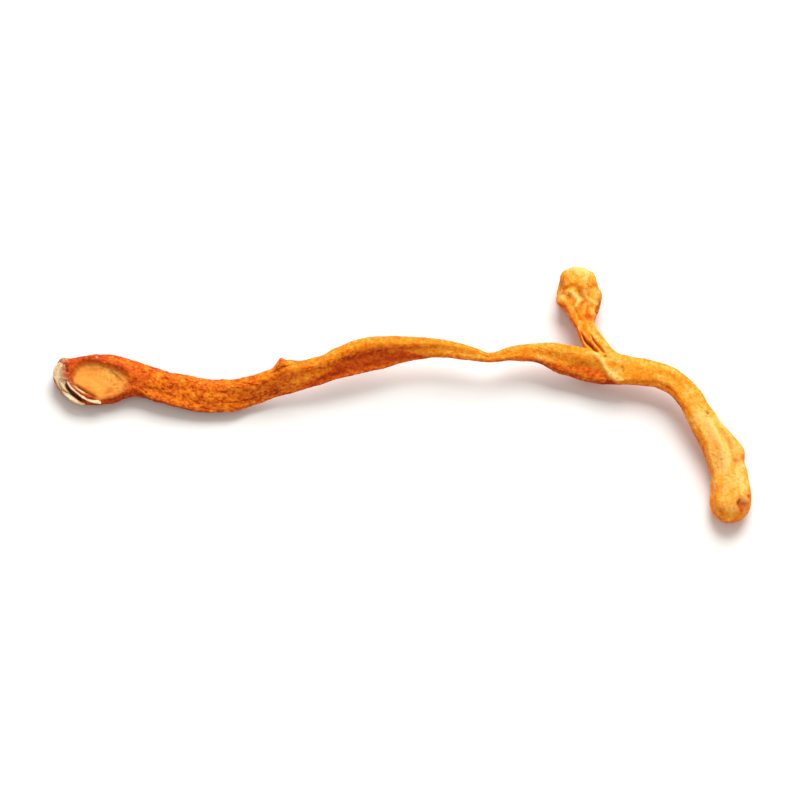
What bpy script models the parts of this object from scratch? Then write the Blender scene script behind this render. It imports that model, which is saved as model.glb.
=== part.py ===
"""One dried cordyceps flower: the forked fruiting body of the fungus, lying on a flat surface.

+X runs from the cut base of the stalk to the clubs, +Z is up, and the flower rests on z = 0. It grew as
one piece, and it is parted at its only fork into the stalk, the long branch and the short branch. The sizes
below are in millimetres, and each mesh is scaled to metres when it is done.
"""

import math

import bmesh
import bpy
import numpy
from mathutils import Vector, noise

METRES = 0.001
SIDES = 28
RING_STEP = 0.75
FORK_GAP = 0.3

# The limbs dried from round stems to twisted ribbons. Each station gives the middle of a section (x, y, z),
# half its width, half its thickness, its twist in degrees, where the far edge rises as the twist grows, and
# how far the far edge has rolled up, from 0 to 1.
STEM_STATIONS = (
    (-42.7, 2.0, 1.45, 1.5, 1.1, 0, 0.0),
    (-41.4, 1.9, 1.45, 2.1, 1.3, 0, 0.0),
    (-39.8, 1.5, 1.45, 2.7, 1.45, 0, 0.0),
    (-38.0, 1.3, 1.45, 3.05, 1.55, 0, 0.0),
    (-35.8, 1.4, 1.5, 3.0, 1.5, 0, 0.0),
    (-33.8, 1.5, 1.6, 2.5, 1.35, 2, 0.1),
    (-31.8, 1.1, 1.75, 2.0, 1.2, 6, 0.2),
    (-29.4, 0.3, 1.8, 1.9, 1.1, 10, 0.3),
    (-26.8, -0.3, 1.7, 2.05, 1.05, 10, 0.4),
    (-24.0, -0.8, 1.6, 2.0, 1.0, 14, 0.4),
    (-21.0, -0.9, 1.7, 1.9, 0.95, 24, 0.4),
    (-18.4, -0.4, 2.1, 1.8, 0.85, 42, 0.5),
    (-15.6, 0.4, 2.7, 1.8, 0.8, 50, 0.3),
    (-12.6, 1.1, 3.2, 1.8, 0.75, 42, 0.4),
    (-9.4, 1.9, 3.6, 1.65, 0.75, 38, 0.8),
    (-7.2, 2.75, 3.85, 1.9, 0.75, 36, 1.0),
    (-4.6, 3.5, 4.05, 2.1, 0.75, 37, 1.0),
    (-1.9, 4.0, 4.1, 1.95, 0.75, 40, 1.0),
    (1.6, 4.4, 4.1, 1.45, 0.72, 40, 0.6),
    (5.0, 4.45, 4.0, 1.1, 0.72, 32, 0.2),
    (8.4, 3.9, 3.8, 0.9, 0.7, 24, 0.1),
    (10.9, 3.45, 3.6, 0.6, 0.6, 18, 0.0),
    (13.9, 4.05, 3.4, 0.95, 0.7, 18, 0.0),
    (16.8, 4.2, 3.2, 1.25, 0.85, 20, 0.1),
    (19.4, 3.6, 3.0, 1.8, 0.95, 22, 0.3),
    (22.2, 2.9, 2.85, 2.0, 1.0, 24, 0.4),
    (24.8, 2.4, 2.8, 2.1, 1.05, 14, 0.3),
    (27.4, 2.0, 2.8, 1.8, 1.05, 8, 0.2),
    (29.6, 1.7, 2.85, 1.65, 1.0, 4, 0.1),
    (31.6, 1.3, 3.0, 1.5, 1.0, 0, 0.1),
    (33.4, 0.3, 3.1, 1.5, 1.02, -4, 0.1),
    (35.0, -1.5, 3.1, 1.55, 1.08, -6, 0.1),
    (36.2, -3.6, 2.9, 1.65, 1.18, -6, 0.1),
    (37.5, -5.8, 2.6, 1.85, 1.4, -6, 0.0),
    (38.8, -7.9, 2.25, 2.15, 1.7, -4, 0.0),
    (39.5, -10.2, 2.0, 2.25, 1.85, 0, 0.0),
    (39.85, -12.6, 1.95, 2.35, 1.98, 0, 0.0),
    (39.8, -14.8, 1.95, 2.4, 2.02, 0, 0.0),
    (39.7, -17.5, 1.9, 2.3, 1.95, 0, 0.0),
)
FORK_PLACE = 27.0
SHORT_BRANCH_STATIONS = (
    (25.0, 2.4, 2.75, 1.8, 0.8, 0, 0.2),
    (24.45, 4.0, 2.85, 1.5, 0.85, 0, 0.2),
    (23.65, 5.6, 2.9, 1.32, 0.85, 4, 0.2),
    (22.95, 7.0, 2.85, 1.15, 0.9, 6, 0.1),
    (22.5, 8.4, 2.6, 1.15, 1.0, 4, 0.0),
    (22.2, 9.6, 2.45, 1.5, 1.25, 0, 0.0),
    (22.2, 10.8, 2.3, 2.15, 1.65, 0, 0.0),
    (22.05, 12.0, 2.15, 2.6, 2.05, 0, 0.0),
    (21.85, 13.6, 2.1, 2.6, 2.15, 0, 0.0),
    (21.35, 15.8, 2.15, 2.2, 2.0, 0, 0.0),
)
BASE_ROUNDING = 1.2
LONG_CLUB_ROUNDING = 2.6
SHORT_CLUB_ROUNDING = 2.5
ROUNDING_ANGLES = (24, 48, 70, 90)

# A rolled far edge is this much thicker than the section's middle, and meets it at a crease, while the near
# edge keeps a lip. The crease and the lip are each (place across, reach, height).
ROLL_THICKENING = 0.4
RIM_CREASE = (0.1, 0.15, -0.3)
NEAR_LIP = (-0.92, 0.16, 0.3)

# The knife cut that freed the stalk is an oval face, squared a little, that is sunk inside a rim of skin and
# slopes up along the stalk and towards its far side.
CUT_CENTRE = (-36.75, 0.7)
CUT_HALF_LENGTH = 3.8
CUT_HALF_WIDTH = 2.3
CUT_SQUARENESS = 2.5
CUT_TURN = math.radians(-20)
CUT_HEIGHT = 2.3
CUT_RISE = math.tan(math.radians(5))
CUT_TILT = 0.14
CUT_EDGE = 0.3

# Lengthwise folds as (how many round the limb, start, turn for each millimetre, and their depth by distance
# along), deeper on the neck of the short branch, which is fluted.
STEM_FOLDS = (
    (4, 0.4, 0.05, ((0, 0.03), (12, 0.05), (75, 0.04), (86, 0.012))),
    (7, 2.1, -0.07, ((0, 0.03), (12, 0.06), (30, 0.04), (50, 0.03), (70, 0.03), (84, 0.012))),
)
BRANCH_FOLDS = (
    (6, 3.14, 0.0, ((2, 0.06), (4, 0.13), (8, 0.12), (10.5, 0.02))),
    (3, 0.6, 0.05, ((8.5, 0.0), (11.5, 0.04), (17, 0.04))),
)

# Knobs as (x, y, z, reach, height), with a hollow where the height is below zero.
KNOBS = (
    (-38.0, 4.4, 2.9, 2.2, 0.35),
    (-35.0, 3.9, 2.8, 1.6, 0.25),
    (-14.5, 1.9, 4.35, 0.8, 0.9),
    (41.6, -8.1, 2.6, 1.4, 0.38),
    (42.2, -9.9, 2.5, 0.8, -0.2),
    (42.3, -14.5, 2.4, 1.8, 0.15),
    (37.6, -12.0, 2.6, 1.8, -0.3),
    (41.6, -15.9, 3.4, 0.7, -0.4),
    (19.2, 11.3, 2.6, 1.0, 0.55),
    (19.2, 12.9, 2.6, 0.8, -0.3),
    (24.3, 11.7, 2.6, 1.3, 0.4),
    (20.5, 15.2, 3.0, 1.3, 0.25),
    (22.3, 14.5, 3.9, 1.2, 0.25),
    (21.6, 9.8, 3.6, 1.0, 0.3),
    (23.5, 9.2, 3.1, 0.7, 0.4),
)
# Ridges of the upper skin, or grooves, seen from above: points, reach and height.
RIDGES = (
    (((22.3, 3.75), (23.6, 3.6), (24.4, 3.0), (25.0, 1.9), (25.7, 1.0), (27.0, 0.3), (28.4, -0.1)), 0.42, 0.3),
    (((22.0, 6.6), (22.5, 5.8), (23.6, 4.5), (24.2, 3.9)), 0.35, -0.5),
    (((36.7, -3.8), (37.9, -6.2), (38.9, -8.4), (39.2, -10.8)), 0.45, 0.3),
    (((38.8, -5.4), (39.7, -7.2), (40.3, -9.2)), 0.4, -0.18),
    (((21.2, 13.1), (21.9, 11.9), (22.5, 10.8), (22.2, 9.9), (21.8, 9.2)), 0.35, -0.4),
    (((19.2, 12.7), (20.4, 12.6), (21.5, 12.8)), 0.35, -0.25),
    (((22.4, 12.8), (23.4, 12.6), (24.6, 13.0)), 0.35, -0.2),
)
LUMP_SIZE = 1.7
STEM_LUMPS = ((0, 0.09), (100, 0.09))
BRANCH_LUMPS = ((7.5, 0.09), (9.5, 0.2))


def graded(points, along):
    """A measure read between points of (distance along, value)."""
    return float(numpy.interp(along, [point[0] for point in points], [point[1] for point in points]))


def bell(value, shape):
    """A bump of the given height around a place, fading over its reach."""
    place, reach, height = shape
    return height * math.exp(-(((value - place) / reach) ** 2))


def beside(place, line, reach):
    """1 on a line through points, seen from above, fading over its reach and towards its two ends."""
    nearest = (math.inf, 0.0)
    for turn, (start, end) in enumerate(zip(line, line[1:])):
        start = Vector(start)
        span = Vector(end) - start
        share = min(max((place - start).dot(span) / span.length_squared, 0), 1)
        nearest = min(nearest, ((place - start - span * share).length, (turn + share) / (len(line) - 1)))
    away, along = nearest
    return math.exp(-((away / reach) ** 2)) * min(1.0, 0.1 + 4 * along, 0.1 + 4 * (1 - along))


class Limb:
    """A smooth line of sections through stations, read by the distance along it."""

    def __init__(self, stations):
        self.stations = stations
        self.places = numpy.linspace(0, len(stations) - 1, 40 * len(stations))
        middles = [self.middle(place) for place in self.places]
        steps = [(end - start).length for start, end in zip(middles, middles[1:])]
        self.along = numpy.concatenate(([0.0], numpy.cumsum(steps)))
        self.length = float(self.along[-1])

    def read(self, place):
        """The station at a place in the list, on a Catmull-Rom curve through all of them."""
        last = len(self.stations) - 1
        place = min(max(place, 0.0), float(last))
        first = min(int(place), last - 1)
        t = place - first
        near = (self.stations[min(max(i, 0), last)] for i in range(first - 1, first + 3))
        return [
            b + 0.5 * t * (c - a + t * (2 * a - 5 * b + 4 * c - d + t * (3 * (b - c) + d - a)))
            for a, b, c, d in zip(*near)
        ]

    def middle(self, place):
        return Vector(self.read(place)[:3])

    def distance_at(self, place):
        return float(numpy.interp(place, self.places, self.along))

    def offset(self, distance, angle, fold, grow):
        """The middle of the section at a distance, and the way from there to its outline at an angle."""
        place = float(numpy.interp(distance, self.along, self.places))
        *middle, half_width, half_thickness, twist, rolled = self.read(place)
        forward = (self.middle(place + 0.05) - self.middle(place - 0.05)).normalized()
        side = Vector((0, 0, 1)).cross(forward).normalized()
        up = forward.cross(side)
        turn = math.radians(twist)
        across = math.copysign(abs(math.cos(angle)) ** 0.9, math.cos(angle))
        out = math.copysign(abs(math.sin(angle)) ** 0.85, math.sin(angle))
        out *= 1 + ROLL_THICKENING * rolled * math.tanh(4 * (across - 0.25))
        if out > 0:
            out += rolled**2 * (bell(across, RIM_CREASE) + bell(across, NEAR_LIP)) * min(1.0, 3 * out)
        across *= half_width * fold + grow
        out *= half_thickness * fold + grow
        width_way = side * math.cos(turn) + up * math.sin(turn)
        return Vector(middle), width_way * across + forward.cross(width_way) * out


def fold_share(folds, distance, angle):
    share = 1.0
    for count, start, turn, depths in folds:
        share += graded(depths, distance) * math.cos(count * angle + start + turn * distance)
    return share


def ring_list(start, end, start_rounding, end_rounding):
    """Each ring as (distance along the limb, share of the section's full size)."""
    first = start + start_rounding
    last = end - end_rounding
    count = round((last - first) / RING_STEP)
    rings = [(float(distance), 1.0) for distance in numpy.linspace(first, last, count)]
    for angle in ROUNDING_ANGLES:
        size = math.cos(math.radians(angle))
        beyond = math.sin(math.radians(angle))
        if start_rounding:
            rings.insert(0, (first - start_rounding * beyond, size))
        if end_rounding:
            rings.append((last + end_rounding * beyond, size))
    return rings


def skin_height(place, facing_up, lumps):
    """How far the skin stands out of the plain section at a place."""
    height = lumps * noise.noise(place / LUMP_SIZE)
    for *knob, reach, rise in KNOBS:
        height += rise * math.exp(-(place - Vector(knob)).length_squared / reach**2)
    for line, reach, rise in RIDGES:
        height += rise * facing_up * beside(place.xy, line, reach)
    return height


def loft(limb, folds, lumps, start, end, start_rounding=0.0, end_rounding=0.0, grow=0.0):
    """A closed tube of sections, in millimetres, made from a grid that is rolled up along the limb."""
    rings = ring_list(start, end, start_rounding, end_rounding)
    bm = bmesh.new()
    bmesh.ops.create_grid(bm, x_segments=len(rings) - 1, y_segments=SIDES, size=0.5)
    for vert in bm.verts:
        distance, size = rings[round((vert.co.x + 0.5) * (len(rings) - 1))]
        angle = math.tau * round((vert.co.y + 0.5) * SIDES) / SIDES
        fold = fold_share(folds, distance, angle % math.tau)
        middle, offset = limb.offset(distance, angle % math.tau, fold, grow)
        vert.co = middle + offset * size
        outward = offset.normalized()
        vert.co += outward * size * skin_height(vert.co, max(0.0, outward.z), graded(lumps, distance))
    bmesh.ops.remove_doubles(bm, verts=bm.verts, dist=0.001)
    bmesh.ops.holes_fill(bm, edges=[edge for edge in bm.edges if edge.is_boundary])
    return bm


def cut_base(bm):
    """Lowers the skin over the knife cut to a sloping face, sunk inside its rim."""
    for vert in bm.verts:
        offset = vert.co.xy - Vector(CUT_CENTRE)
        x = offset.x * math.cos(CUT_TURN) + offset.y * math.sin(CUT_TURN)
        y = offset.y * math.cos(CUT_TURN) - offset.x * math.sin(CUT_TURN)
        share = abs(x / CUT_HALF_LENGTH) ** CUT_SQUARENESS + abs(y / CUT_HALF_WIDTH) ** CUT_SQUARENESS
        inside = 1 - share ** (1 / CUT_SQUARENESS)
        face = CUT_HEIGHT + CUT_RISE * x + CUT_TILT * y
        vert.co.z -= max(0.0, vert.co.z - face) * min(max(inside / CUT_EDGE, 0.0), 1.0)


def lay_flat(bm):
    """Flattens what would reach below the surface that the flower lies on."""
    everything = bm.verts[:] + bm.edges[:] + bm.faces[:]
    bmesh.ops.bisect_plane(
        bm, geom=everything, dist=0.0001, plane_co=(0, 0, 0), plane_no=(0, 0, 1), clear_inner=True
    )
    bmesh.ops.holes_fill(bm, edges=[edge for edge in bm.edges if edge.is_boundary])


def make_object(bm, name, collection):
    bmesh.ops.triangulate(bm, faces=[face for face in bm.faces if len(face.verts) > 3])
    bmesh.ops.recalc_face_normals(bm, faces=bm.faces)
    bmesh.ops.scale(bm, vec=(METRES, METRES, METRES), verts=bm.verts)
    mesh = bpy.data.meshes.new(name)
    bm.to_mesh(mesh)
    bm.free()
    mesh.shade_smooth()
    made = bpy.data.objects.new(name, mesh)
    collection.objects.link(made)
    return made


def give_material(made, name, colour, roughness):
    material = bpy.data.materials.new(name)
    material.use_nodes = True
    shader = material.node_tree.nodes["Principled BSDF"]
    shader.inputs["Base Color"].default_value = (*colour, 1)
    shader.inputs["Roughness"].default_value = roughness
    shader.inputs["Metallic"].default_value = 0.0
    material.diffuse_color = (*colour, 1)
    made.data.materials.append(material)


def make_stem(collection):
    """The stalk and the long branch are one stem, parted just past the fork."""
    stem = Limb(STEM_STATIONS)
    fork = stem.distance_at(FORK_PLACE)
    bm = loft(stem, STEM_FOLDS, STEM_LUMPS, 0.0, fork - FORK_GAP / 2, start_rounding=BASE_ROUNDING)
    cut_base(bm)
    lay_flat(bm)
    stalk = make_object(bm, "stalk", collection)
    give_material(stalk, "stalk_skin", (0.62, 0.19, 0.03), 0.62)

    start = fork + FORK_GAP / 2
    bm = loft(stem, STEM_FOLDS, STEM_LUMPS, start, stem.length, end_rounding=LONG_CLUB_ROUNDING)
    lay_flat(bm)
    long_branch = make_object(bm, "long_branch", collection)
    give_material(long_branch, "long_branch_skin", (0.8, 0.36, 0.06), 0.6)
    return stem


def make_short_branch(collection, cutters, stem):
    """The short branch grows out of the stalk's far edge, and follows the stalk's form across the gap."""
    branch = Limb(SHORT_BRANCH_STATIONS)
    bm = loft(branch, BRANCH_FOLDS, BRANCH_LUMPS, 0.0, branch.length, end_rounding=SHORT_CLUB_ROUNDING)
    lay_flat(bm)
    short_branch = make_object(bm, "short_branch", collection)
    give_material(short_branch, "short_branch_skin", (0.78, 0.31, 0.05), 0.62)

    before = stem.distance_at(FORK_PLACE - 5)
    after = stem.distance_at(FORK_PLACE + 3)
    bm = loft(stem, STEM_FOLDS, STEM_LUMPS, before, after, grow=FORK_GAP)
    cutter = make_object(bm, "stalk_room", cutters)
    cutter.hide_render = True
    cutter.display_type = "WIRE"
    room = short_branch.modifiers.new("room for the stalk", "BOOLEAN")
    room.operation = "DIFFERENCE"
    room.solver = "EXACT"
    room.object = cutter


def centre_on_origin(collection, cutters):
    """Moves the flower so that the middle of its box, seen from above, is at the origin."""
    corners = [vert.co for made in collection.objects for vert in made.data.vertices]
    middle_x = (min(c.x for c in corners) + max(c.x for c in corners)) / 2
    middle_y = (min(c.y for c in corners) + max(c.y for c in corners)) / 2
    for made in [*collection.objects, *cutters.objects]:
        for vert in made.data.vertices:
            vert.co -= Vector((middle_x, middle_y, 0))


for leftover in list(bpy.data.objects):
    bpy.data.objects.remove(leftover)
flower = bpy.data.collections.new("dried_cordyceps_flower")
cutters = bpy.data.collections.new("cutters")
bpy.context.scene.collection.children.link(flower)
bpy.context.scene.collection.children.link(cutters)
stem = make_stem(flower)
make_short_branch(flower, cutters, stem)
centre_on_origin(flower, cutters)
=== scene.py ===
"""A dried cordyceps flower, lying on a pale table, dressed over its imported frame.

Sizes in the mesh sections are in millimetres, as a grower would measure a fruiting body, and each finished
mesh is scaled to metres. +X runs from the cut base to the clubs, and +Z is up.
"""

import math

import bmesh
import bpy
import numpy
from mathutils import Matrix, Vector, noise


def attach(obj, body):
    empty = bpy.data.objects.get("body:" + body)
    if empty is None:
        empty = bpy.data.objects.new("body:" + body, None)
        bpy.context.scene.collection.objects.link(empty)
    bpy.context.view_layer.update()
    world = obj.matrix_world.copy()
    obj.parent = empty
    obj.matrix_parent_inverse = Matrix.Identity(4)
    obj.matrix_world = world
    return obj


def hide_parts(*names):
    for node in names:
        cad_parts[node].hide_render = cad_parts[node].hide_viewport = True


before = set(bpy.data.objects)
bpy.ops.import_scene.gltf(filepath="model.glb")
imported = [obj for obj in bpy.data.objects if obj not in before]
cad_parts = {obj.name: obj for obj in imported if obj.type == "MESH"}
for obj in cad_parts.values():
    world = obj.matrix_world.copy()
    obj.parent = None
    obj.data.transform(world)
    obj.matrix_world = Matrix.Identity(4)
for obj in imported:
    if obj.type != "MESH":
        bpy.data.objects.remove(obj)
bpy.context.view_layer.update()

# The stem
# The stalk and its long branch grew as one stem, round when fresh. Drying flattened it to a twisted ribbon
# with a rolled far edge and a thin near edge, and left the solid club at its tip full.

METRES = 0.001
STEM_STATIONS = (
    # middle x, y, z, half width, half thickness, twist in degrees, how far the far edge has rolled up
    (-42.7, 2.0, 1.45, 1.5, 1.1, 0, 0.0),
    (-41.4, 1.9, 1.45, 2.1, 1.3, 0, 0.0),
    (-39.8, 1.5, 1.45, 2.7, 1.45, 0, 0.0),
    (-38.0, 1.3, 1.45, 3.05, 1.55, 0, 0.0),
    (-35.8, 1.4, 1.5, 3.0, 1.5, 0, 0.0),
    (-33.8, 1.5, 1.6, 2.5, 1.35, 2, 0.1),
    (-31.8, 1.1, 1.75, 2.0, 1.2, 6, 0.2),
    (-29.4, 0.3, 1.8, 1.9, 1.1, 10, 0.3),
    (-26.8, -0.3, 1.7, 2.05, 1.05, 10, 0.4),
    (-24.0, -0.8, 1.6, 2.0, 1.0, 14, 0.4),
    (-21.0, -0.9, 1.7, 1.9, 0.95, 24, 0.4),
    (-18.4, -0.4, 2.1, 1.8, 0.85, 42, 0.5),
    (-15.6, 0.4, 2.7, 1.8, 0.8, 50, 0.3),
    (-12.6, 1.1, 3.2, 1.8, 0.75, 42, 0.4),
    (-9.4, 1.9, 3.6, 1.65, 0.75, 38, 0.8),
    (-7.2, 2.75, 3.85, 1.9, 0.75, 36, 1.0),
    (-4.6, 3.5, 4.05, 2.1, 0.75, 37, 1.0),
    (-1.9, 4.0, 4.1, 1.95, 0.75, 40, 1.0),
    (1.6, 4.4, 4.1, 1.45, 0.72, 40, 0.6),
    (5.0, 4.45, 4.0, 1.1, 0.72, 32, 0.2),
    (8.4, 3.9, 3.8, 0.9, 0.7, 24, 0.1),
    (10.9, 3.45, 3.6, 0.6, 0.6, 18, 0.0),
    (13.9, 4.05, 3.4, 0.95, 0.7, 18, 0.0),
    (16.8, 4.2, 3.2, 1.25, 0.85, 20, 0.1),
    (19.4, 3.6, 3.0, 1.8, 0.95, 22, 0.3),
    (22.2, 2.9, 2.85, 2.0, 1.0, 24, 0.4),
    (24.8, 2.4, 2.8, 2.1, 1.05, 14, 0.3),
    (27.4, 2.0, 2.8, 1.8, 1.05, 8, 0.2),
    (29.6, 1.7, 2.85, 1.65, 1.0, 4, 0.1),
    (31.6, 1.3, 3.0, 1.5, 1.0, 0, 0.1),
    (33.4, 0.3, 3.1, 1.5, 1.02, -4, 0.1),
    (35.0, -1.5, 3.1, 1.55, 1.08, -6, 0.1),
    (36.2, -3.6, 2.9, 1.65, 1.18, -6, 0.1),
    (37.5, -5.8, 2.6, 1.85, 1.4, -6, 0.0),
    (38.8, -7.9, 2.25, 2.15, 1.7, -4, 0.0),
    (39.5, -10.2, 2.0, 2.25, 1.85, 0, 0.0),
    (39.85, -12.6, 1.95, 2.35, 1.98, 0, 0.0),
    (39.8, -14.8, 1.95, 2.4, 2.02, 0, 0.0),
    (39.7, -17.5, 1.9, 2.3, 1.95, 0, 0.0),
)
BASE_ROUNDING = 1.2
LONG_CLUB_ROUNDING = 2.6
ROUNDING_ANGLES = (12, 24, 36, 48, 60, 71, 81, 90)
STEM_SIDES = 60
RING_STEP = 0.34
# Points closer than this are one point.
WELD = 0.0005
# Lengthwise folds as (how many around, start, turn for each mm, and their depth by distance along).
STEM_FOLDS = (
    (4, 0.4, 0.05, ((0, 0.03), (12, 0.05), (75, 0.04), (86, 0.012))),
    (7, 2.1, -0.07, ((0, 0.03), (12, 0.06), (30, 0.04), (50, 0.03), (70, 0.03), (84, 0.012))),
)
# The ribbon's edges wave as (size along in mm, share of the half width).
EDGE_WAVE = (1.7, 0.07)
# A crease under the rolled rim and a lip at the near edge, each as (place across, reach, height).
RIM_CREASE = (0.1, 0.15, -0.2)
NEAR_LIP = (-0.92, 0.16, 0.3)
# A rolled far edge is thicker by this share, from this place across on, and it thickens this steeply.
ROLL_THICKENING = 0.4
ROLL_START = 0.25
ROLL_STEEPNESS = 4
# Powers of the section's oval across and out, which make it a little square.
OVAL_POWERS = (0.9, 0.85)


def graded(points, along):
    """A measure read between points of (distance along, value)."""
    return float(numpy.interp(along, [point[0] for point in points], [point[1] for point in points]))


class Limb:
    """A smooth line of sections through stations, read by the distance along it."""

    def __init__(self, stations):
        self.stations = stations
        self.places = numpy.linspace(0, len(stations) - 1, 40 * len(stations))
        middles = [self.middle(place) for place in self.places]
        steps = [(end - start).length for start, end in zip(middles, middles[1:])]
        self.along = numpy.concatenate(([0.0], numpy.cumsum(steps)))
        self.length = float(self.along[-1])

    def read(self, place):
        """The station at a place in the list, on a Catmull-Rom curve through all of them."""
        last = len(self.stations) - 1
        place = min(max(place, 0.0), float(last))
        first = min(int(place), last - 1)
        t = place - first
        near = (self.stations[min(max(i, 0), last)] for i in range(first - 1, first + 3))
        return [
            b + 0.5 * t * (c - a + t * (2 * a - 5 * b + 4 * c - d + t * (3 * (b - c) + d - a)))
            for a, b, c, d in zip(*near)
        ]

    def middle(self, place):
        return Vector(self.read(place)[:3])

    def section(self, distance):
        """The middle of the section, its width's and its thickness's way, and its measures."""
        place = float(numpy.interp(distance, self.along, self.places))
        *middle, half_width, half_thickness, twist, rolled = self.read(place)
        forward = (self.middle(place + 0.05) - self.middle(place - 0.05)).normalized()
        side = Vector((0, 0, 1)).cross(forward).normalized()
        turn = math.radians(twist)
        width_way = side * math.cos(turn) + forward.cross(side) * math.sin(turn)
        return Vector(middle), width_way, forward.cross(width_way), half_width, half_thickness, rolled


def bell(value, shape):
    """A bump of the given height around a place, fading over its reach."""
    place, reach, height = shape
    return height * math.exp(-(((value - place) / reach) ** 2))


def outline(section, angle, fold, wave):
    """The way from the section's middle to its outline: a flat oval, thick at a rolled far edge."""
    middle, width_way, out_way, half_width, half_thickness, rolled = section
    across = math.copysign(abs(math.cos(angle)) ** OVAL_POWERS[0], math.cos(angle))
    out = math.copysign(abs(math.sin(angle)) ** OVAL_POWERS[1], math.sin(angle))
    out *= 1 + ROLL_THICKENING * rolled * math.tanh(ROLL_STEEPNESS * (across - ROLL_START))
    if out > 0:
        out += rolled**2 * (bell(across, RIM_CREASE) + bell(across, NEAR_LIP)) * min(1.0, 3 * out)
    return width_way * (across * half_width * fold * wave) + out_way * (out * half_thickness * fold)


def fold_share(folds, distance, angle):
    """The share of the section's size at an angle, with its lengthwise folds."""
    share = 1.0
    for count, start, turn, depths in folds:
        share += graded(depths, distance) * math.cos(count * angle + start + turn * distance)
    return share


def ring_list(start, end, start_rounding, end_rounding):
    """Each ring as (distance along the limb, share of the section's full size)."""
    first = start + start_rounding
    last = end - end_rounding
    count = round((last - first) / RING_STEP)
    rings = [(float(distance), 1.0) for distance in numpy.linspace(first, last, count)]
    for angle in ROUNDING_ANGLES:
        size = math.cos(math.radians(angle))
        beyond = math.sin(math.radians(angle))
        if start_rounding:
            rings.insert(0, (first - start_rounding * beyond, size))
        if end_rounding:
            rings.append((last + end_rounding * beyond, size))
    return rings


def roll_up(bm, limb, rings, sides, folds, start_along=0.0):
    """Rolls a grid up into the limb's skin, its seam underneath, and notes each point's place in the grain.

    The grain is the limb as if it were straight and round: (along, across, out) in millimetres.
    """
    grain = bm.verts.layers.float_vector.get("grain") or bm.verts.layers.float_vector.new("grain")
    shoot = bm.verts.layers.float.get("shoot") or bm.verts.layers.float.new("shoot")
    made = bmesh.ops.create_grid(bm, x_segments=len(rings) - 1, y_segments=sides, size=0.5)["verts"]
    sections = [limb.section(distance) for distance, size in rings]
    for vert in made:
        ring = round((vert.co.x + 0.5) * (len(rings) - 1))
        distance, size = rings[ring]
        angle = math.tau * (round((vert.co.y + 0.5) * sides) / sides - 0.25)
        edge = math.cos(angle)
        ripple = noise.noise(Vector((distance / EDGE_WAVE[0], 2 * edge, start_along)))
        wave = 1 + EDGE_WAVE[1] * abs(edge) * ripple
        way = outline(sections[ring], angle, fold_share(folds, distance, angle), wave)
        vert.co = sections[ring][0] + way * size
        radius = (sections[ring][3] + sections[ring][4]) / 2 * size
        vert[grain] = (start_along + distance, radius * math.cos(angle), radius * math.sin(angle))
        vert[shoot] = distance if start_along else 0.0
    return made


stem = Limb(STEM_STATIONS)
flower = bmesh.new()
stem_rings = ring_list(0.0, stem.length, BASE_ROUNDING, LONG_CLUB_ROUNDING)
roll_up(flower, stem, stem_rings, STEM_SIDES, STEM_FOLDS)
bmesh.ops.remove_doubles(flower, verts=flower.verts, dist=WELD)

# The short branch
# A side shoot that grew out of the stem's far edge, and dried to a thin neck of three flutes under a knobby
# club. Its skin runs on from the stem's, so it is grown from a hole that is opened in the stem's skin.

BRANCH_STATIONS = (
    # measured as the stem's are
    (25.0, 2.4, 2.75, 1.8, 0.8, 0, 0.2),
    (24.45, 4.0, 2.85, 1.5, 0.85, 0, 0.2),
    (23.65, 5.6, 2.9, 1.32, 0.85, 4, 0.2),
    (22.95, 7.0, 2.85, 1.15, 0.9, 6, 0.1),
    (22.5, 8.4, 2.6, 1.15, 1.0, 4, 0.0),
    (22.2, 9.6, 2.45, 1.5, 1.25, 0, 0.0),
    (22.2, 10.8, 2.3, 2.15, 1.65, 0, 0.0),
    (22.05, 12.0, 2.15, 2.6, 2.05, 0, 0.0),
    (21.85, 13.6, 2.1, 2.6, 2.15, 0, 0.0),
    (21.35, 15.8, 2.15, 2.2, 2.0, 0, 0.0),
)
SHORT_CLUB_ROUNDING = 2.5
BRANCH_FOLDS = (
    (6, 3.14, 0.0, ((2, 0.06), (4, 0.13), (8, 0.12), (10.5, 0.02))),
    (3, 0.6, 0.05, ((8.5, 0.0), (11.5, 0.04), (17, 0.04))),
)
# The hole for it in the stem's skin, as counts of rings and sides, and how far along it the skin is its own.
FORK_MIDDLE = Vector((24.4, 4.3, 3.3))
HOLE_RINGS = 12
HOLE_SIDES = 14
BRANCH_START = 3.0
# The skin between the two is a bridge of rows, smoothed to a fillet.
BRIDGE_ROWS = 4
FILLET_REACH = 1.9
FILLET_PASSES = 10

branch = Limb(BRANCH_STATIONS)
grain = flower.verts.layers.float_vector["grain"]
fork_along = min(flower.verts, key=lambda vert: (vert.co - FORK_MIDDLE).length)[grain].x
hole = []
for face in flower.faces:
    middle = sum((vert[grain] for vert in face.verts), Vector()) / len(face.verts)
    angle = math.atan2(middle.z, middle.y)
    near_fork = abs(middle.x - fork_along) < HOLE_RINGS * RING_STEP / 2
    if near_fork and abs(angle) < HOLE_SIDES / 2 * math.tau / STEM_SIDES:
        hole.append(face)
bmesh.ops.delete(flower, geom=hole, context="FACES")
rim = [edge for edge in flower.edges if edge.is_boundary]
branch_rings = ring_list(BRANCH_START, branch.length, 0.0, SHORT_CLUB_ROUNDING)
branch_skin = roll_up(flower, branch, branch_rings, len(rim), BRANCH_FOLDS, start_along=fork_along)
bmesh.ops.remove_doubles(flower, verts=branch_skin, dist=WELD)
open_edges = [edge for edge in flower.edges if edge.is_boundary]
bridge = bmesh.ops.bridge_loops(flower, edges=open_edges)
bmesh.ops.subdivide_edges(flower, edges=bridge["edges"], cuts=BRIDGE_ROWS, use_grid_fill=True)
fillet = [vert for vert in flower.verts if (vert.co - FORK_MIDDLE).length < FILLET_REACH]
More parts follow.
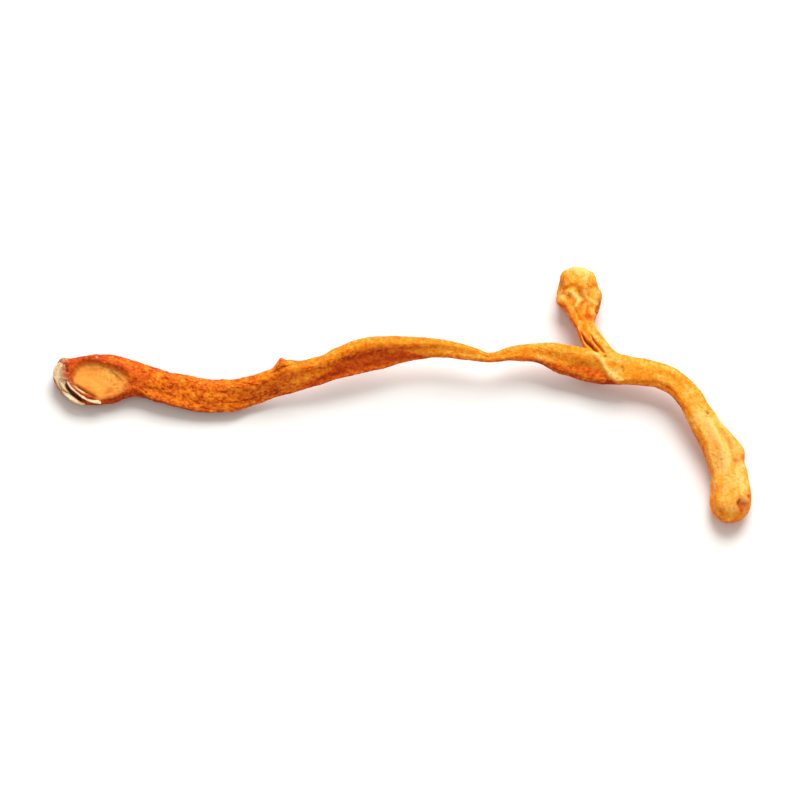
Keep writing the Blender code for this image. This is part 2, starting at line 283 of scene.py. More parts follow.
for turn in range(FILLET_PASSES):
    bmesh.ops.smooth_vert(flower, verts=fillet, factor=0.5, use_axis_x=True, use_axis_y=True, use_axis_z=True)
bmesh.ops.recalc_face_normals(flower, faces=flower.faces)

# The skin's relief
# As it lost its water the skin shrank into a net of creases, coarse on the stalk and faint on the clubs, with
# a fine grain of spore cases over it. Grooves, ridges, knobs and pits lie where this flower has them.

FINER_LEVELS = 1
# Depths by distance along, for the stem and then for the short branch.
CREASE_DEPTH = (
    (0, 0.05), (8, 0.09), (12, 0.16), (25, 0.16), (31, 0.1), (50, 0.06), (66, 0.07), (74, 0.04), (99, 0.03),
)
SWELL = ((0, 0.05), (10, 0.1), (25, 0.13), (33, 0.08), (60, 0.08), (85, 0.17), (99, 0.16))
GRAIN_DEPTH = ((0, 0.02), (10, 0.03), (28, 0.035), (75, 0.022), (99, 0.022))
BRANCH_CREASE_DEPTH = ((3, 0.05), (8, 0.05), (10, 0.14), (16, 0.12))
BRANCH_SWELL = ((3, 0.03), (8, 0.08), (10, 0.26), (16, 0.24))
# Sizes as (along, across), and the size of round forms.
COARSE_CREASE = (1.5, 0.6)
FINE_CREASE = (0.5, 0.28)
SWELL_SIZE = (3.4, 1.1)
GRAIN_SIZE = 0.3
LUMP_SIZE = 1.7
SMALL_LUMP_SIZE = 0.8
# A crease's half width in the net, the net's mean height, and its drift as (cells for each mm, strength).
CREASE_REACH = 0.3
NET_LEVEL = 0.75
NET_DRIFT = (0.5, 0.7)
# Vector noise, which makes the drift and the strips' crumples, starts from the clock unless it is seeded.
NOISE_SEED = 7

noise.seed_set(NOISE_SEED)

# Knobs as (x, y, z, reach, height), with a hollow where the height is below zero.
KNOBS = (
    (-38.0, 4.4, 2.9, 2.2, 0.35),
    (-35.0, 3.9, 2.8, 1.6, 0.25),
    (-41.4, 3.4, 2.2, 0.6, 0.35),
    (-14.7, 1.8, 4.35, 0.75, 0.7),
    (-14.35, 2.0, 4.4, 0.32, 0.5),
    (-13.5, 2.1, 4.4, 0.9, 0.45),
    (41.6, -8.1, 2.6, 1.4, 0.38),
    (42.2, -9.9, 2.5, 0.8, -0.2),
    (42.3, -14.5, 2.4, 1.8, 0.15),
    (37.6, -12.0, 2.6, 1.8, -0.3),
    (41.5, -15.2, 3.1, 0.4, 0.35),
    (19.2, 11.3, 2.6, 1.0, 0.55),
    (19.2, 12.9, 2.6, 0.7, -0.3),
    (24.3, 11.7, 2.6, 1.3, 0.4),
    (20.5, 15.2, 3.0, 1.3, 0.25),
    (22.3, 14.5, 3.9, 1.2, 0.25),
    (21.6, 9.8, 3.6, 1.0, 0.3),
    (23.5, 9.2, 3.1, 0.6, 0.4),
)
# Pits of the upper skin, seen from above: x, y, reach, depth, darkness, which is painted shade in the pit,
# and redness.
PITS = (
    (41.2, -15.7, 0.75, 0.42, 0.0, 0.85),
    (41.1, -16.4, 0.4, 0.12, 0.1, 1.0),
    (40.75, -15.6, 0.32, 0.1, 0.1, 1.0),
    (41.9, -14.6, 0.3, 0.05, 0.1, 0.9),
    (42.4, -14.6, 0.22, 0.15, 0.6, 0.4),
    (38.3, -13.75, 0.6, 0.04, 0.0, 0.4),
    (38.5, -16.5, 0.5, 0.05, 0.05, 0.45),
    (40.6, -10.1, 0.5, 0.15, 0.05, 0.55),
    (41.5, -9.7, 0.4, 0.22, 0.25, 0.4),
    (37.25, -4.0, 0.19, 0.15, 1.0, 0.0),
    (24.97, 3.45, 0.2, 0.18, 0.7, 0.2),
    (27.06, 2.05, 0.16, 0.08, 0.55, 0.4),
    (27.1, 1.6, 0.16, 0.08, 0.5, 0.4),
    (26.2, 1.6, 0.22, 0.06, 0.4, 0.0),
    (19.76, 12.1, 0.26, 0.2, 0.6, 0.3),
    (23.6, 13.1, 0.35, 0.08, 0.0, 0.55),
    (22.8, 12.2, 0.3, 0.1, 0.1, 0.5),
    (19.9, 13.5, 0.6, 0.05, 0.0, 0.4),
    (22.95, 8.9, 0.55, 0.14, 0.0, 0.7),
    (-35.6, -0.4, 0.5, 0.03, 0.0, 0.5),
    (-34.9, -1.1, 0.45, 0.03, 0.0, 0.65),
    (-33.7, -0.5, 0.6, 0.0, 0.0, 0.6),
    (-35.8, -1.5, 0.6, 0.0, 0.0, 0.75),
    (-34.4, -1.3, 0.7, 0.05, 0.0, 0.8),
    (-37.0, -1.8, 0.5, 0.0, 0.0, 0.4),
)
# Ridges and grooves of the upper skin, seen from above: points, reach, height, darkness, which is painted
# shade in the groove, and redness, which adds ripeness where it is below zero, as a painted highlight on the
# ridge.
FORK_RIDGE = ((22.3, 3.75), (23.6, 3.6), (24.4, 3.0), (25.0, 1.9), (25.7, 1.0), (27.0, 0.3), (28.4, -0.1))
FOLDS = (
    (FORK_RIDGE, 0.34, 0.3, 0.0, -0.3),
    (((20.0, 2.5), (22.6, 2.3), (24.2, 1.7), (25.6, 0.4)), 0.4, -0.15, 0.05, 0.3),
    (((22.0, 6.7), (22.5, 5.8), (23.6, 4.5), (24.2, 3.9)), 0.18, -0.6, 0.5, 1.0),
    (((23.1, 6.6), (23.8, 5.5), (24.5, 4.5), (25.1, 3.7)), 0.15, -0.42, 0.35, 1.0),
    (((36.7, -3.8), (37.9, -6.2), (38.9, -8.4), (39.2, -10.8)), 0.45, 0.32, 0.0, -0.28),
    (((41.0, -15.0), (40.7, -15.6), (40.95, -16.4)), 0.15, -0.15, 0.25, 1.0),
    (((38.8, -5.4), (39.7, -7.2), (40.3, -9.2)), 0.3, -0.18, 0.1, 0.3),
    (((-35.9, 2.4), (-34.8, 1.5), (-33.9, 0.5)), 0.16, -0.16, 0.5, 0.3),
    (((-35.0, 2.8), (-34.0, 2.0), (-33.3, 1.2)), 0.14, -0.12, 0.4, 0.3),
    (((21.2, 13.1), (21.9, 11.9), (22.5, 10.8), (22.2, 9.9), (21.8, 9.2)), 0.28, -0.4, 0.1, 0.35),
    (((19.2, 12.7), (20.4, 12.6), (21.5, 12.8)), 0.26, -0.2, 0.0, 0.3),
    (((22.4, 12.8), (23.4, 12.6), (24.6, 13.0)), 0.24, -0.12, 0.0, 0.3),
    (((20.3, 12.1), (21.1, 11.9), (21.9, 10.8), (21.5, 9.8)), 0.26, 0.16, 0.0, -0.3),
    (((22.8, 11.3), (23.7, 10.6), (24.3, 10.6)), 0.22, 0.18, 0.0, -0.2),
    (((21.4, 15.4), (22.3, 14.7), (23.2, 13.8)), 0.5, 0.12, 0.0, -0.4),
)
# No fold reaches further than this from its first point. Its ends begin at this share and rise this fast.
FOLD_RANGE = 9
FOLD_END = 0.1
FOLD_END_RISE = 4
# How fast the skin comes to count as facing up, as it turns from upright to level.
FACING_GAIN = 1.5


def to_object(bm, name):
    """An object in metres from a bmesh in millimetres."""
    mesh = bpy.data.meshes.new(name)
    bmesh.ops.scale(bm, vec=(METRES, METRES, METRES), verts=bm.verts)
    bm.to_mesh(mesh)
    bm.free()
    mesh.shade_smooth()
    made = bpy.data.objects.new(name, mesh)
    bpy.context.scene.collection.objects.link(made)
    return made


def held(value):
    """The value, held between 0 and 1."""
    return min(max(value, 0.0), 1.0)


def stretched(place, size):
    """A place in the grain, in units of a size along the limb and a size across it."""
    return Vector((place.x / size[0], place.y / size[1], place.z / size[1]))


def crease_net(place, size):
    """A net of creases stretched along the limb: 0 in a crease, rising to 1 on the skin between."""
    drift = noise.noise_vector(place * NET_DRIFT[0]) * NET_DRIFT[1]
    line = abs(noise.noise(stretched(place, size) + drift))
    return 1 - (1 - min(line / CREASE_REACH, 1)) ** 2


def beside(place, line, reach):
    """1 on a line through points, seen from above, fading over its reach and towards its two ends."""
    nearest = (math.inf, 0.0)
    for turn, (start, end) in enumerate(zip(line, line[1:])):
        start = Vector(start)
        span = Vector(end) - start
        share = held((place - start).dot(span) / span.length_squared)
        nearest = min(nearest, ((place - start - span * share).length, (turn + share) / (len(line) - 1)))
    away, along = nearest
    ends = min(1.0, FOLD_END + FOLD_END_RISE * along, FOLD_END + FOLD_END_RISE * (1 - along))
    return math.exp(-((away / reach) ** 2)) * ends


skin = to_object(flower, "flower")
finer = skin.modifiers.new("finer", "SUBSURF")
finer.levels = FINER_LEVELS
finer.render_levels = FINER_LEVELS
fine_mesh = bpy.data.meshes.new_from_object(skin.evaluated_get(bpy.context.evaluated_depsgraph_get()))
bpy.data.objects.remove(skin)
flower = bmesh.new()
flower.from_mesh(fine_mesh)
bmesh.ops.scale(flower, vec=(1 / METRES, 1 / METRES, 1 / METRES), verts=flower.verts)
flower.normal_update()
grain = flower.verts.layers.float_vector["grain"]
shoot = flower.verts.layers.float["shoot"]
crease = flower.verts.layers.float.new("crease")
dark = flower.verts.layers.float.new("dark")
red = flower.verts.layers.float.new("red")
pale = flower.verts.layers.float.new("pale")
painted_highlight = flower.verts.layers.float.new("painted_highlight")
moves = []
for vert in flower.verts:
    place = vert[grain]
    along = place.x
    on_branch = min(1.0, vert[shoot] / BRANCH_START)
    crease_depth = graded(CREASE_DEPTH, along)
    lumps = 0.0
    if on_branch:
        crease_depth += on_branch * (graded(BRANCH_CREASE_DEPTH, vert[shoot]) - crease_depth)
        lumps = on_branch * graded(BRANCH_SWELL, vert[shoot])
    net = (crease_net(place, COARSE_CREASE) + crease_net(place, FINE_CREASE)) / 2
    height = crease_depth * (net - NET_LEVEL)
    height += graded(SWELL, along) * noise.noise(stretched(place, SWELL_SIZE))
    height += graded(GRAIN_DEPTH, along) * noise.noise(vert.co / GRAIN_SIZE)
    height += lumps * (noise.noise(vert.co / LUMP_SIZE) + 0.5 * noise.noise(vert.co / SMALL_LUMP_SIZE))
    vert[crease] = net
    for *knob, reach, rise in KNOBS:
        height += rise * math.exp(-(vert.co - Vector(knob)).length_squared / reach**2)
    facing_up = held(FACING_GAIN * vert.normal.z)
    # Pits and grooves are painted darker as shade, by their darkness.
    for *pit, reach, sink, darkness, redness in PITS:
        share = facing_up * math.exp(-(vert.co.xy - Vector(pit)).length_squared / reach**2)
        height -= sink * share
        vert[dark] = max(vert[dark], darkness * share)
        vert[red] = max(vert[red], redness * share)
    # Folds paint shade by their darkness, and a highlight where their redness is below zero.
    for line, reach, rise, darkness, redness in FOLDS:
        if facing_up and (vert.co.xy - Vector(line[0])).length < FOLD_RANGE:
            share = facing_up * beside(vert.co.xy, line, reach)
            height += rise * share
            vert[dark] = max(vert[dark], darkness * share)
            vert[red] = max(vert[red], redness * share)
            vert[painted_highlight] = max(vert[painted_highlight], -redness * share)
    moves.append(vert.co + vert.normal * height)
for vert, moved in zip(flower.verts, moves):
    vert.co = moved

# The cut base
# A knife freed the flower from its bed, and the cut's flesh dried down inside a thick rim of skin. At its low
# left end the skin split, and two thin pale papery strips of it peeled up with a gap between them, painted
# dark as shade.

# The cut's oval as seen from above, its face's height and slopes, and how wide and red its edge is.
CUT_CENTRE = Vector((-36.75, 0.7))
CUT_HALF_LENGTH = 3.8
CUT_HALF_WIDTH = 2.3
CUT_SQUARENESS = 2.5
CUT_TURN = math.radians(-20)
CUT_HEIGHT = 2.3
CUT_RISE = math.tan(math.radians(5))
CUT_TILT = 0.14
CUT_EDGE = 0.16
CUT_EDGE_RED = 0.35
# Unevenness as (height or share, cells for each mm).
CUT_WAVE = (0.07, 0.8)
COARSE_RAGGED = (0.05, 0.9)
FINE_RAGGED = (0.03, 3)
# Creases of the flesh lie towards its far corner, which is given as its share at the centre and for each mm.
FAR_CORNER = (0.5, 0.25, 0.35)
CUT_CREASES = 0.15
# The flesh's creases are painted darker and redder, as shade.
CUT_CREASE_SHADE = 0.08
CUT_CREASE_RED_SHADE = 0.4
# The rim of skin stands round the cut at this share of its oval. Its near side is crumbled.
RIM_PLACE = 1.15
RIM_REACH = 0.2
RIM_HEIGHT = 0.27
NEAR_RIM_RED = 0.6
FAR_RIM_RED = 0.4
CRUMB_HEIGHT = 0.3
CRUMB_SIZE = 0.42
# How fast the skin gives way to bare flesh, as a share for each mm that the cut took off.
SKIN_LOSS = 6
SPLITS = (
    # line, reach, height, darkness as painted shade, paleness
    (((-41.15, 0.7), (-40.9, 0.2), (-40.3, -0.5), (-39.4, -1.2), (-38.5, -1.65)), 0.24, -1.1, 1.0, 0.0),
    (((-41.0, 3.0), (-40.9, 2.2), (-40.9, 1.7)), 0.15, -0.5, 0.9, 0.0),
    (((-42.0, 3.2), (-41.9, 1.5), (-41.4, 0.2), (-40.9, -0.6), (-39.8, -1.4)), 0.7, -0.12, 0.0, 0.95),
    (((-41.8, 3.7), (-41.0, 3.4)), 0.4, 0.1, 0.0, 0.7),
    # A painted glint, a tiny white highlight on the rim's top.
    (((-37.3, 3.66), (-37.15, 3.66)), 0.15, 0.08, 0.0, 1.0),
    (((-40.5, 0.9), (-39.2, -0.02), (-38.1, -0.71), (-36.8, -1.6)), 0.15, -0.4, 0.8, 0.0),
)
STRIPS = (
    # middle x, y, z, half width and twist in degrees
    (
        (-41.0, 3.6, 2.6, 0.2, 10),
        (-41.6, 2.9, 2.6, 0.55, 16),
        (-41.85, 1.95, 2.55, 0.85, 18),
        (-41.65, 0.9, 2.4, 0.65, 18),
        (-41.36, 0.0, 2.05, 0.36, 16),
        (-40.7, -0.95, 1.95, 0.26, 10),
        (-39.7, -1.65, 1.85, 0.22, 10),
        (-38.6, -2.05, 1.7, 0.12, 10),
    ),
    (
        (-40.75, 2.2, 2.6, 0.12, 0),
        (-40.8, 1.2, 2.5, 0.22, -10),
        (-40.3, 0.2, 2.4, 0.36, -20),
        (-39.45, -0.55, 2.3, 0.42, -20),
        (-38.5, -1.2, 2.2, 0.4, -16),
        (-37.6, -1.65, 2.1, 0.32, -10),
        (-36.6, -1.95, 2.0, 0.12, 0),
    ),
)
STRIP_THICKNESS = 0.07
STRIP_SIDES = 16
STRIP_ROUNDING = 0.15
# A strip's crumples as (size, strength).
STRIP_CRUMPLE = (0.6, 0.1)

cut = flower.verts.layers.float.new("cut")
flower.normal_update()
for vert in flower.verts:
    near_base = vert.co.x < CUT_CENTRE.x + 2 * CUT_HALF_LENGTH
    if near_base and vert.normal.z > 0:
        offset = vert.co.xy - CUT_CENTRE
        x = offset.x * math.cos(CUT_TURN) + offset.y * math.sin(CUT_TURN)
        y = offset.y * math.cos(CUT_TURN) - offset.x * math.sin(CUT_TURN)
        ragged = 1 + COARSE_RAGGED[0] * noise.noise(Vector((x, y, 0)) * COARSE_RAGGED[1])
        ragged += FINE_RAGGED[0] * noise.noise(Vector((x, y, 3)) * FINE_RAGGED[1])
        share = abs(x / CUT_HALF_LENGTH) ** CUT_SQUARENESS + abs(y / CUT_HALF_WIDTH) ** CUT_SQUARENESS
        share = share ** (1 / CUT_SQUARENESS) * ragged
        far_side = 0.5 + 0.5 * y / CUT_HALF_WIDTH / max(share, 0.01)
        rim_share = vert.normal.z * math.exp(-(((share - RIM_PLACE) / RIM_REACH) ** 2))
        vert.co.z += RIM_HEIGHT * far_side * rim_share
        vert.co.z += CRUMB_HEIGHT * (1 - far_side) * rim_share * noise.noise(vert.co / CRUMB_SIZE)
        rim_red = NEAR_RIM_RED + (FAR_RIM_RED - NEAR_RIM_RED) * far_side
        vert[red] = max(vert[red], rim_share * rim_red)
        face = CUT_HEIGHT + CUT_RISE * x + CUT_TILT * y
        face += CUT_WAVE[0] * noise.noise(Vector((x, y, 0)) * CUT_WAVE[1])
        far_corner = held(FAR_CORNER[0] + FAR_CORNER[1] * x + FAR_CORNER[2] * y)
        crumpled = far_corner * (1 - crease_net(Vector((x, 2 * y, 0)), FINE_CREASE))
        face -= CUT_CREASES * crumpled
        sunk = held((1 - share) / CUT_EDGE)
        sunk = sunk * sunk * (3 - 2 * sunk)
        skin_gone = held(1 + SKIN_LOSS * (vert.co.z - face))
        if vert.co.z > face:
            vert.co.z += (face - vert.co.z) * sunk
        vert[cut] = sunk * skin_gone
        # Painted shade, darker and redder, in the cut's creases.
        vert[dark] = max(vert[dark], CUT_CREASE_SHADE * crumpled * sunk)
        edge_red = CUT_EDGE_RED * math.exp(-(((share - 1) / CUT_EDGE) ** 2))
        vert[red] = max(vert[red], CUT_CREASE_RED_SHADE * crumpled * sunk + edge_red)
        # The gaps along the splits are painted dark as shade.
        for line, reach, rise, darkness, paleness in SPLITS:
            closeness = vert.normal.z**0.5 * beside(vert.co.xy, line, reach)
            vert.co.z += rise * closeness
            vert[dark] = max(vert[dark], darkness * closeness)
            vert[pale] = max(vert[pale], paleness * closeness * (1 - sunk))
    vert.co.z = max(vert.co.z, 0.0)
for strip in STRIPS:
    sheet = Limb([(x, y, z, half_width, STRIP_THICKNESS, twist, 0.0) for x, y, z, half_width, twist in strip])
    rings = ring_list(0.0, sheet.length, STRIP_ROUNDING, STRIP_ROUNDING)
    for vert in roll_up(flower, sheet, rings, STRIP_SIDES, ()):
        vert.co += noise.noise_vector(vert.co / STRIP_CRUMPLE[0]) * STRIP_CRUMPLE[1]
        vert[pale] = 1.0
bmesh.ops.remove_doubles(flower, verts=flower.verts, dist=WELD)
bmesh.ops.recalc_face_normals(flower, faces=flower.faces)

# The colour of the skin
# The pigment is richest where the stem was exposed, and rusty where a fold dried against itself. The young
# clubs and the fork stayed pale. Each place's ripeness is noted on the mesh, from rusty 0 to pale yellow 1,
# and with it painted shade on the ribbon's face, by the fork, in the creases and on the sides and underside,
# and painted highlights on ridges and on the skin between creases.

RIPENESS = (
    (0, 0.25), (6, 0.32), (10, 0.37), (20, 0.43), (30, 0.54), (45, 0.64), (55, 0.69), (66, 0.71), (70, 0.73),
    (74, 0.68), (80, 0.67), (85, 0.85), (90, 0.89), (99, 0.81),
)
BRANCH_RIPENESS = ((3, 0.8), (5, 0.7), (8, 0.72), (12, 0.82), (18, 0.84))
# By distance along: how rusty and shaded the ribbon's face is below its rolled rim, and where across that
# rim's foot is. The face's darkening is partly rust and partly painted shade. It fades in over a width, is
# weaker on the near lip, and takes from the ripeness and adds red.
RUSTY_SHADED_FACE = ((25, 0.0), (31, 0.85), (36, 1.0), (48, 1.0), (52, 0.1), (64, 0.1), (70, 0.0))
RIM_FOOT = (
    (30, -0.7), (35, 0.05), (37.5, 0.35), (41.5, 0.3), (44.3, 0.05), (46.5, -0.4), (48.5, -1.1), (60, 0.3),
)
RIM_FOOT_FADE = 0.3
NEAR_LIP_RUST_AND_SHADE = 0.35
FACE_RUST_AND_SHADE = 0.25
FACE_RED = 0.48
# By the fork the ribbon's lower side turns away below a line of (x, y), seen from above, and it is painted
# darker there as shade.
FORK_SHADE_LINE = (
    (15.5, 3.6), (16.5, 3.4), (18.5, 2.85), (20.5, 2.6), (22.6, 2.5), (24.2, 2.0), (25.2, 1.2), (26.2, 0.5),
    (28.4, -0.3),
)
FORK_SHADE_REACH = 0.35
FORK_SHADE = 0.27
# By distance along: how much the tone is painted darker in the creases, as shade, and paler on the skin
# between them, as highlight, around the net's level.
CREASE_SHADE_AND_HIGHLIGHT = ((0, 0.1), (9, 0.22), (12, 0.36), (27, 0.36), (34, 0.25), (50, 0.14), (99, 0.1))
CREASE_LEVEL = 0.7
# Sides and underside are painted darker than the top, as painted shade. The short club is mottled, and the
# long branch is streaked from this distance on.
SIDE_SHADE = 0.42
SIDE_SHADE_POWER = 1.5
MOTTLE = 0.22
MOTTLE_SIZE = 0.6
STREAK = 0.16
STREAK_SIZE = (2.4, 0.7)
STREAK_START = 66

ripeness = flower.verts.layers.float.new("ripeness")
flower.normal_update()
for vert in flower.verts:
    place = vert[grain]
    on_branch = min(1.0, vert[shoot] / BRANCH_START)
    value = graded(RIPENESS, place.x)
    value += on_branch * (graded(BRANCH_RIPENESS, vert[shoot]) - value)
    value += on_branch * MOTTLE * noise.noise(vert.co / MOTTLE_SIZE)
    if place.x > STREAK_START and not on_branch:
        value += STREAK * noise.noise(stretched(place, STREAK_SIZE))
    # Painted highlights on ridges pale the tone, and painted shade darkens the sides and underside.
    value += vert[painted_highlight] - SIDE_SHADE * (1 - max(0.0, vert.normal.z)) ** SIDE_SHADE_POWER
    # Painted shade in the creases and painted highlight on the skin between them.
    value += graded(CREASE_SHADE_AND_HIGHLIGHT, place.x) * (vert[crease] - CREASE_LEVEL)
    across = place.y / max(math.hypot(place.y, place.z), 0.01)
    if not on_branch:
        # The ribbon's face below the rim is darkened and reddened, partly as rust and partly as painted
        # shade.
        below_rim = held((graded(RIM_FOOT, place.x) - across) / RIM_FOOT_FADE) * (place.z > 0)
        above_lip = max(held((across + 1.0) / RIM_FOOT_FADE), NEAR_LIP_RUST_AND_SHADE)
        rust_and_shade = graded(RUSTY_SHADED_FACE, place.x) * below_rim * above_lip
        value -= FACE_RUST_AND_SHADE * rust_and_shade
        vert[red] = max(vert[red], FACE_RED * rust_and_shade)
        if FORK_SHADE_LINE[0][0] < vert.co.x < FORK_SHADE_LINE[-1][0]:
            line_y = graded(FORK_SHADE_LINE, vert.co.x)
            ends = min(1.0, vert.co.x - FORK_SHADE_LINE[0][0], 2 * (FORK_SHADE_LINE[-1][0] - vert.co.x))
            value -= FORK_SHADE * ends * held((line_y - vert.co.y) / FORK_SHADE_REACH)
    vert[ripeness] = value

# The part's frame has its origin under the middle of its box.
middle_x = (min(v.co.x for v in flower.verts) + max(v.co.x for v in flower.verts)) / 2
middle_y = (min(v.co.y for v in flower.verts) + max(v.co.y for v in flower.verts)) / 2
bmesh.ops.translate(flower, vec=(-middle_x, -middle_y, 0), verts=flower.verts)


class Wire:
    """A number that comes out of a node. Arithmetic on it adds Math nodes."""

    def __init__(self, finish, socket):
        self.finish = finish
        self.socket = socket

    def math(self, operation, first, second, **settings):
        return self.finish.add("ShaderNodeMath", {"operation": operation, **settings}, {0: first, 1: second})

    def __add__(self, other):
        return self.math("ADD", self, other)

    __radd__ = __add__

    def __sub__(self, other):
        return self.math("SUBTRACT", self, other)

    def __rsub__(self, other):
        return self.math("SUBTRACT", other, self)

    def __mul__(self, other):
        return self.math("MULTIPLY", self, other)

    __rmul__ = __mul__

    def held(self):
        """The same number, held between 0 and 1."""
        return self.math("ADD", self, 0.0, use_clamp=True)


class Finish:
    """A material built from nodes around its Principled shader."""

    def __init__(self, name):
        self.material = bpy.data.materials.new(name)
        self.material.use_nodes = True
        self.tree = self.material.node_tree
        self.shader = self.tree.nodes["Principled BSDF"]

    def feed(self, socket, value):
        if isinstance(value, Wire):
            self.tree.links.new(value.socket, socket)
        else:
            socket.default_value = value

    def add(self, kind, settings, inputs, output=0):
        """A node with its settings made first, then its sockets fed with values or wires."""
        node = self.tree.nodes.new(kind)
        for name, setting in settings.items():
            if name == "stops":
                while len(node.color_ramp.elements) < len(setting):
                    node.color_ramp.elements.new(1.0)
                for stop, (place, colour) in zip(node.color_ramp.elements, setting):
                    stop.position = place
                    stop.color = (*colour, 1)
            else:
                setattr(node, name, setting)
        for name, value in inputs.items():
            self.feed(node.inputs[name], value)
        return Wire(self, node.outputs[output])

    def attribute(self, name, output="Fac"):
        return self.add("ShaderNodeAttribute", {"attribute_name": name}, {}, output)

    def noise(self, vector, scale, detail):
        inputs = {"Vector": vector, "Scale": scale, "Detail": detail, "Roughness": 0.6}
        return self.add("ShaderNodeTexNoise", {}, inputs)

    def mix(self, share, first, second):
        """Two colours mixed, on the Mix node's colour sockets."""
        return self.add("ShaderNodeMix", {"data_type": "RGBA"}, {0: share, 6: first, 7: second}, output=2)


SKIN_RAMP = (
    # by tone, from rusty to pale yellow
    (0.0, (0.32, 0.033, 0.002)),
    (0.25, (0.64, 0.088, 0.003)),
    (0.5, (0.85, 0.20, 0.006)),
    (0.72, (0.90, 0.34, 0.016)),
    (1.0, (0.94, 0.56, 0.15)),
)
SKIN_RED = (0.50, 0.035, 0.001, 1)
# The colour of painted shade in gaps, grooves, pits and the cut's creases.
PAINTED_SHADE_COLOUR = (0.03, 0.008, 0.004, 1)
SKIN_SPECK = (0.48, 0.19, 0.008, 1)
CUT_FLESH = ((0.3, (0.74, 0.20, 0.02)), (0.5, (0.90, 0.37, 0.055)), (0.7, (0.92, 0.46, 0.09)))
PAPERY_AND_GLINT = ((0.3, (0.46, 0.20, 0.09)), (0.5, (0.80, 0.51, 0.28)), (0.7, (0.90, 0.70, 0.45)))
# Round patterns as (cells for each metre, detail), and patterns of the grain as cells for each mm along,
# across and out.
BLOTCHES = (620, 3)
SPECKS = (1700, 1)
GRANULES = (2100, 2)
FLECKS = (4600, 1)
STREAKS = (0.3, 2.4, 2.4)
WRINKLES = (0.9, 2.2, 2.2)
# Specks show where their pattern is over this. The bump's depth is in metres.
SPECK_START = 0.6
BUMP_STRENGTH = 0.7
BUMP_DEPTH = 0.0002

dried = Finish("dried_skin")
grain_place = dried.attribute("grain", "Vector")
streak_place = dried.add("ShaderNodeVectorMath", {"operation": "MULTIPLY"}, {0: grain_place, 1: STREAKS})
wrinkle_place = dried.add("ShaderNodeVectorMath", {"operation": "MULTIPLY"}, {0: grain_place, 1: WRINKLES})
own_place = dried.add("ShaderNodeTexCoord", {}, {}, output="Object")
blotches = dried.noise(own_place, *BLOTCHES)
streaks = dried.noise(streak_place, 1.0, 3)
granules = dried.noise(own_place, *GRANULES)
flecks = dried.noise(own_place, *FLECKS)
specks = dried.noise(own_place, *SPECKS)
ripe_and_shading = dried.attribute("ripeness")
off_middle = dried.noise(wrinkle_place, 1.0, 2) - 0.5
wrinkles = dried.add("ShaderNodeMath", {"operation": "ABSOLUTE"}, {0: off_middle})
# The furrows are sunk in the bump, and painted darker in tone as shade.
furrows = (1 - 9 * wrinkles).held() * (1.6 - 2.0 * ripe_and_shading).held()
patches = 0.55 * (blotches - 0.5) + (0.1 + 0.25 * ripe_and_shading) * (streaks - 0.5)
grains = (1.5 - 1.2 * ripe_and_shading) * (granules - 0.5) + 0.35 * (flecks - 0.5)
tone = (ripe_and_shading + patches + grains - 0.09 * furrows).held()
colour = dried.add("ShaderNodeValToRGB", {"stops": SKIN_RAMP}, {"Fac": tone})
colour = dried.mix((6 * (specks - SPECK_START)).held() * (ripe_and_shading - 0.3).held(), colour, SKIN_SPECK)
flesh = dried.add("ShaderNodeValToRGB", {"stops": CUT_FLESH}, {"Fac": 0.5 * blotches + 0.5 * streaks})
cut_share = dried.attribute("cut")
colour = dried.mix(cut_share, colour, flesh)
colour = dried.mix(dried.attribute("red"), colour, SKIN_RED)
# The papery strips take the papery colour, and so does the one painted glint.
paper_and_glint = dried.add("ShaderNodeValToRGB", {"stops": PAPERY_AND_GLINT}, {"Fac": streaks})
colour = dried.mix(dried.attribute("pale"), colour, paper_and_glint)
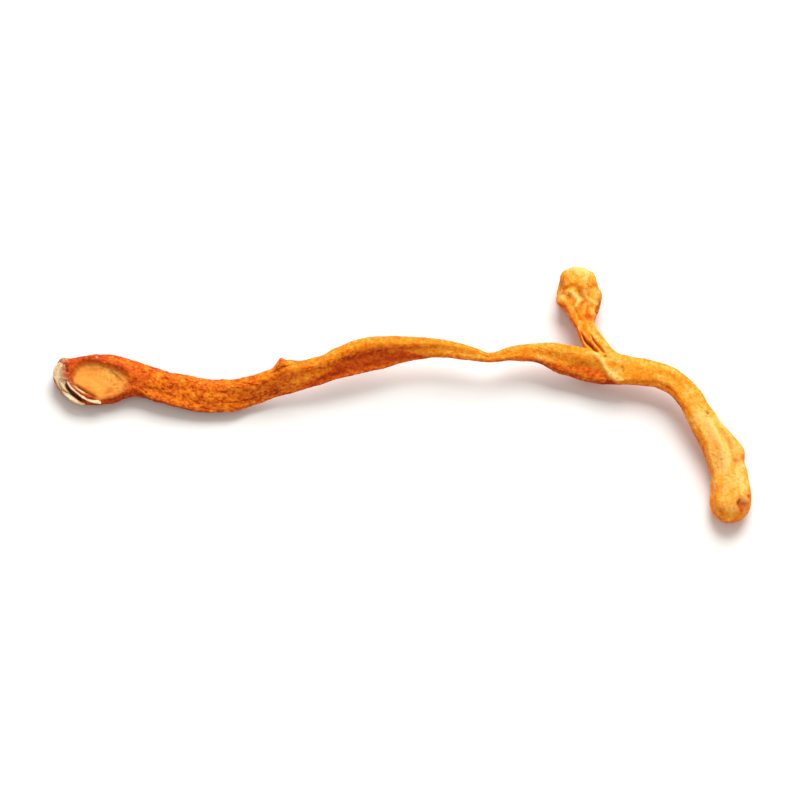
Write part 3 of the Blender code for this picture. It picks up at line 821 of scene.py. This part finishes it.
# Painted shade darkens the gaps, grooves, pits and the cut's creases.
colour = dried.mix(0.9 * dried.attribute("dark"), colour, PAINTED_SHADE_COLOUR)
dried.feed(dried.shader.inputs["Base Color"], colour)
dried.feed(dried.shader.inputs["Roughness"], 0.72 - 0.3 * blotches + 0.1 * flecks)
relief = (1 - 0.75 * cut_share) * (0.8 * granules + 0.35 * flecks + 0.3 * streaks - 0.3 * furrows)
bump_inputs = {"Strength": BUMP_STRENGTH, "Distance": BUMP_DEPTH, "Height": relief}
bump = dried.add("ShaderNodeBump", {}, bump_inputs)
dried.feed(dried.shader.inputs["Normal"], bump)
for socket, value in (
    ("Specular IOR Level", 0.1),
    ("Subsurface Weight", 0.25),
    ("Subsurface Radius", (1.0, 0.4, 0.12)),
    ("Subsurface Scale", 0.0006),
):
    dried.feed(dried.shader.inputs[socket], value)

piece = to_object(flower, "flower")
piece.data.materials.append(dried.material)
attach(piece, "root")
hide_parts("stalk", "long_branch", "short_branch")

# The table
# A plain pale surface that the flower lies on, far wider than the view.

TABLE_WIDTH = 2.0
TABLE_WHITE = (0.9, 0.9, 0.89, 1)

bpy.ops.mesh.primitive_plane_add(size=TABLE_WIDTH)
table = bpy.context.object
table.name = "table"
paint = Finish("table_paint")
paint.feed(paint.shader.inputs["Base Color"], TABLE_WHITE)
paint.feed(paint.shader.inputs["Roughness"], 0.8)
table.data.materials.append(paint.material)

# Light and camera
# A large soft lamp behind and above, as in a packshot, and a camera that looks down on the flower.

LAMP_PLACE = Vector((0.1, 0.33, 0.4))
LAMP_ENERGY = 3.2
LAMP_SIZE = 0.36
ROOM_COLOUR = (1.0, 0.95, 0.88, 1)
ROOM_STRENGTH = 0.6
CAMERA_LENS = 180
CAMERA_RISE = math.radians(68)
CAMERA_AWAY = 0.491

panel = bpy.data.lights.new("lamp", "AREA")
panel.energy = LAMP_ENERGY
panel.size = LAMP_SIZE
lamp = bpy.data.objects.new("lamp", panel)
lamp.location = LAMP_PLACE
lamp.rotation_euler = (-LAMP_PLACE).to_track_quat("-Z", "Y").to_euler()
bpy.context.scene.collection.objects.link(lamp)
room = bpy.data.worlds.new("room")
room.use_nodes = True
room.node_tree.nodes["Background"].inputs["Color"].default_value = ROOM_COLOUR
room.node_tree.nodes["Background"].inputs["Strength"].default_value = ROOM_STRENGTH
bpy.context.scene.world = room
bpy.context.scene.view_settings.view_transform = "Standard"

lens = bpy.data.cameras.new("camera")
lens.lens = CAMERA_LENS
lens.clip_start = 0.01
camera = bpy.data.objects.new("camera", lens)
camera.location = Vector((0, -math.cos(CAMERA_RISE), math.sin(CAMERA_RISE))) * CAMERA_AWAY
camera.rotation_euler = (math.pi / 2 - CAMERA_RISE, 0, 0)
bpy.context.scene.collection.objects.link(camera)
bpy.context.scene.camera = camera
